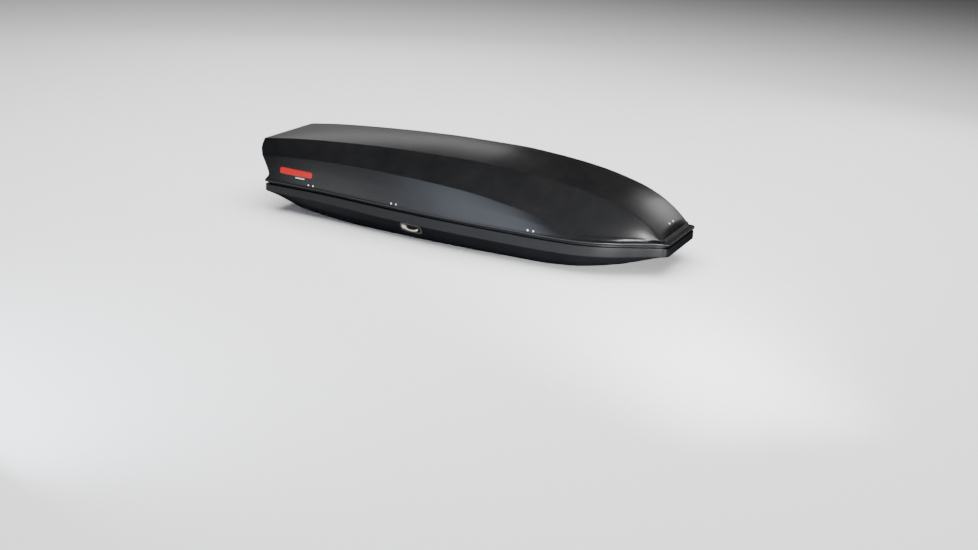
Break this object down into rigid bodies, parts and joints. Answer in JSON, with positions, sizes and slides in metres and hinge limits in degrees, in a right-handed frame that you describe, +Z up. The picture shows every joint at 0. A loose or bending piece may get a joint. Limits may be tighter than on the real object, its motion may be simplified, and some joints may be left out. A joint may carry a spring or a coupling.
{
  "type": "roof cargo box",
  "caption": "Long hard-shell roof cargo box with a faceted, tapering lid that opens from either side, lever latches and crossbar clamps.",
  "frame": {"origin": "centre of the bounding box in plan, on the bottom face that rests on the crossbars", "axes": "+X toward the nose, +Y to the left side of the box, +Z up"},
  "size_m": [2.398, 0.896, 0.467],
  "materials": {
    "lid_plastic": "fine textured black",
    "base_plastic": "satin black",
    "black_plastic": "moulded",
    "steel": "zinc plated",
    "nickel": "satin warm nickel",
    "aluminium": "plain",
    "webbing": "woven"
  },
  "bodies": {
    "base": {"base_shell": "base_plastic", "floor_rail_left": "steel", "floor_rail_right": "steel", "nose_guide_socket": "black_plastic", "cargo_strap_rear": "webbing", "cargo_strap_front": "webbing", "strap_buckle_rear": "black_plastic", "strap_buckle_front": "black_plastic", "lever_bezel_left": "black_plastic", "lever_bezel_right": "black_plastic", "latch_frame_left_1": "steel", "latch_frame_left_2": "steel", "latch_frame_left_3": "steel", "latch_frame_right_1": "steel", "latch_frame_right_2": "steel", "latch_frame_right_3": "steel", "clamp_body_rear_left": "black_plastic", "clamp_body_rear_right": "black_plastic", "clamp_body_front_left": "black_plastic", "clamp_body_front_right": "black_plastic"},
    "right_rod": {"hinge_rod_right": "steel"},
    "lid": {"lid_shell": "lid_plastic", "lid_rib_rear": "aluminium", "lid_rib_front": "aluminium", "nose_guide_tongue": "steel", "rivets_nose": "aluminium", "hinge_rod_left": "steel", "lid_bracket_left_1": "steel", "lid_bracket_left_2": "steel", "lid_bracket_left_3": "steel", "lid_bracket_right_1": "steel", "lid_bracket_right_2": "steel", "lid_bracket_right_3": "steel", "rivets_left_1": "aluminium", "rivets_left_2": "aluminium", "rivets_left_3": "aluminium", "rivets_right_1": "aluminium", "rivets_right_2": "aluminium", "rivets_right_3": "aluminium"},
    "lever_left": {"lever_left": "nickel"},
    "lock_left": {"lock_barrel_left": "steel"},
    "latch_rod_left": {"latch_rod_left": "steel"},
    "latch_pawl_left_1": {"latch_pawl_left_1": "steel"},
    "latch_pawl_left_2": {"latch_pawl_left_2": "steel"},
    "latch_pawl_left_3": {"latch_pawl_left_3": "steel"},
    "lever_right": {"lever_right": "nickel"},
    "lock_right": {"lock_barrel_right": "steel"},
    "latch_rod_right": {"latch_rod_right": "steel"},
    "latch_pawl_right_1": {"latch_pawl_right_1": "steel"},
    "latch_pawl_right_2": {"latch_pawl_right_2": "steel"},
    "latch_pawl_right_3": {"latch_pawl_right_3": "steel"},
    "clamp_knob_rear_left": {"clamp_knob_rear_left": "black_plastic"},
    "clamp_jaw_rear_left": {"clamp_jaw_rear_left": "steel"},
    "clamp_knob_rear_right": {"clamp_knob_rear_right": "black_plastic"},
    "clamp_jaw_rear_right": {"clamp_jaw_rear_right": "steel"},
    "clamp_knob_front_left": {"clamp_knob_front_left": "black_plastic"},
    "clamp_jaw_front_left": {"clamp_jaw_front_left": "steel"},
    "clamp_knob_front_right": {"clamp_knob_front_right": "black_plastic"},
    "clamp_jaw_front_right": {"clamp_jaw_front_right": "steel"}
  },
  "joints": [
    {"name": "right_side_opening", "type": "hinge", "parent": "base", "child": "right_rod", "pos_m": [-0.27205, 0.35701, 0.127], "axis": [-0.998, -0.0628, 0], "range_deg": [0, 23]},
    {"name": "left_side_opening", "type": "hinge", "parent": "right_rod", "child": "lid", "pos_m": [-0.27205, -0.35701, 0.127], "axis": [0.998, -0.0628, 0], "range_deg": [0, 23]},
    {"name": "lever_left_pull", "type": "hinge", "parent": "base", "child": "lever_left", "pos_m": [-0.20959, 0.40257, 0.07414], "axis": [-0.0312, 0.4806, 0.8764], "range_deg": [0, 40], "stiffness_Nm_per_rad": 0.6},
    {"name": "lock_left_turn", "type": "hinge", "parent": "lever_left", "child": "lock_left", "pos_m": [-0.20786, 0.40621, 0.07221], "axis": [-0.0667, 0.8739, -0.4816], "range_deg": [0, 90]},
    {"name": "latch_rod_left_slide", "type": "slide", "parent": "base", "child": "latch_rod_left", "axis": [0.998, 0.0628, 0], "range_m": [0, 0.02]},
    {"name": "latch_pawl_left_1_turn", "type": "hinge", "parent": "base", "child": "latch_pawl_left_1", "pos_m": [-0.79042, 0.29834, 0.119], "axis": [0.998, 0.0628, 0], "range_deg": [0, 36]},
    {"name": "latch_pawl_left_2_turn", "type": "hinge", "parent": "base", "child": "latch_pawl_left_2", "pos_m": [-0.24248, 0.33282, 0.119], "axis": [0.998, 0.0628, 0], "range_deg": [0, 36]},
    {"name": "latch_pawl_left_3_turn", "type": "hinge", "parent": "base", "child": "latch_pawl_left_3", "pos_m": [0.56157, 0.38341, 0.119], "axis": [0.998, 0.0628, 0], "range_deg": [0, 36]},
    {"name": "lever_right_pull", "type": "hinge", "parent": "base", "child": "lever_right", "pos_m": [-0.20959, -0.40257, 0.07414], "axis": [0.0312, 0.4806, -0.8764], "range_deg": [0, 40], "stiffness_Nm_per_rad": 0.6},
    {"name": "lock_right_turn", "type": "hinge", "parent": "lever_right", "child": "lock_right", "pos_m": [-0.20786, -0.40621, 0.07221], "axis": [0.0667, 0.8739, 0.4816], "range_deg": [0, 90]},
    {"name": "latch_rod_right_slide", "type": "slide", "parent": "base", "child": "latch_rod_right", "axis": [0.998, -0.0628, 0], "range_m": [0, 0.02]},
    {"name": "latch_pawl_right_1_turn", "type": "hinge", "parent": "base", "child": "latch_pawl_right_1", "pos_m": [-0.79042, -0.29834, 0.119], "axis": [-0.998, 0.0628, 0], "range_deg": [0, 36]},
    {"name": "latch_pawl_right_2_turn", "type": "hinge", "parent": "base", "child": "latch_pawl_right_2", "pos_m": [-0.24248, -0.33282, 0.119], "axis": [-0.998, 0.0628, 0], "range_deg": [0, 36]},
    {"name": "latch_pawl_right_3_turn", "type": "hinge", "parent": "base", "child": "latch_pawl_right_3", "pos_m": [0.56157, -0.38341, 0.119], "axis": [-0.998, 0.0628, 0], "range_deg": [0, 36]},
    {"name": "clamp_knob_rear_left_turn", "type": "hinge", "parent": "base", "child": "clamp_knob_rear_left", "pos_m": [-0.39006, 0.27001, 0.0369], "axis": [0, 0, 1], "range_deg": [0, 720]},
    {"name": "clamp_jaw_rear_left_swing", "type": "hinge", "parent": "base", "child": "clamp_jaw_rear_left", "pos_m": [-0.39006, 0.27001, 0.0196], "axis": [0, 1, 0], "range_deg": [0, 90]},
    {"name": "clamp_knob_rear_right_turn", "type": "hinge", "parent": "base", "child": "clamp_knob_rear_right", "pos_m": [-0.39006, -0.27001, 0.0369], "axis": [0, 0, 1], "range_deg": [0, 720]},
    {"name": "clamp_jaw_rear_right_swing", "type": "hinge", "parent": "base", "child": "clamp_jaw_rear_right", "pos_m": [-0.39006, -0.27001, 0.0196], "axis": [0, 1, 0], "range_deg": [0, 90]},
    {"name": "clamp_knob_front_left_turn", "type": "hinge", "parent": "base", "child": "clamp_knob_front_left", "pos_m": [0.41003, 0.27001, 0.0369], "axis": [0, 0, 1], "range_deg": [0, 720]},
    {"name": "clamp_jaw_front_left_swing", "type": "hinge", "parent": "base", "child": "clamp_jaw_front_left", "pos_m": [0.41003, 0.27001, 0.0196], "axis": [0, 1, 0], "range_deg": [0, 90]},
    {"name": "clamp_knob_front_right_turn", "type": "hinge", "parent": "base", "child": "clamp_knob_front_right", "pos_m": [0.41003, -0.27001, 0.0369], "axis": [0, 0, 1], "range_deg": [0, 720]},
    {"name": "clamp_jaw_front_right_swing", "type": "hinge", "parent": "base", "child": "clamp_jaw_front_right", "pos_m": [0.41003, -0.27001, 0.0196], "axis": [0, 1, 0], "range_deg": [0, 90]}
  ],
  "couplings": [
    {"joint": "latch_rod_left_slide", "follows": "lever_left_pull", "m_per_rad": 0.028},
    {"joint": "latch_pawl_left_1_turn", "follows": "lever_left_pull", "ratio": 0.88},
    {"joint": "latch_pawl_left_2_turn", "follows": "lever_left_pull", "ratio": 0.88},
    {"joint": "latch_pawl_left_3_turn", "follows": "lever_left_pull", "ratio": 0.88},
    {"joint": "latch_rod_right_slide", "follows": "lever_right_pull", "m_per_rad": 0.028},
    {"joint": "latch_pawl_right_1_turn", "follows": "lever_right_pull", "ratio": 0.88},
    {"joint": "latch_pawl_right_2_turn", "follows": "lever_right_pull", "ratio": 0.88},
    {"joint": "latch_pawl_right_3_turn", "follows": "lever_right_pull", "ratio": 0.88},
    {"joint": "clamp_jaw_rear_left_swing", "follows": "clamp_knob_rear_left_turn", "ratio": 0.1248},
    {"joint": "clamp_jaw_rear_right_swing", "follows": "clamp_knob_rear_right_turn", "ratio": 0.1248},
    {"joint": "clamp_jaw_front_left_swing", "follows": "clamp_knob_front_left_turn", "ratio": 0.1248},
    {"joint": "clamp_jaw_front_right_swing", "follows": "clamp_knob_front_right_turn", "ratio": 0.1248}
  ]
}
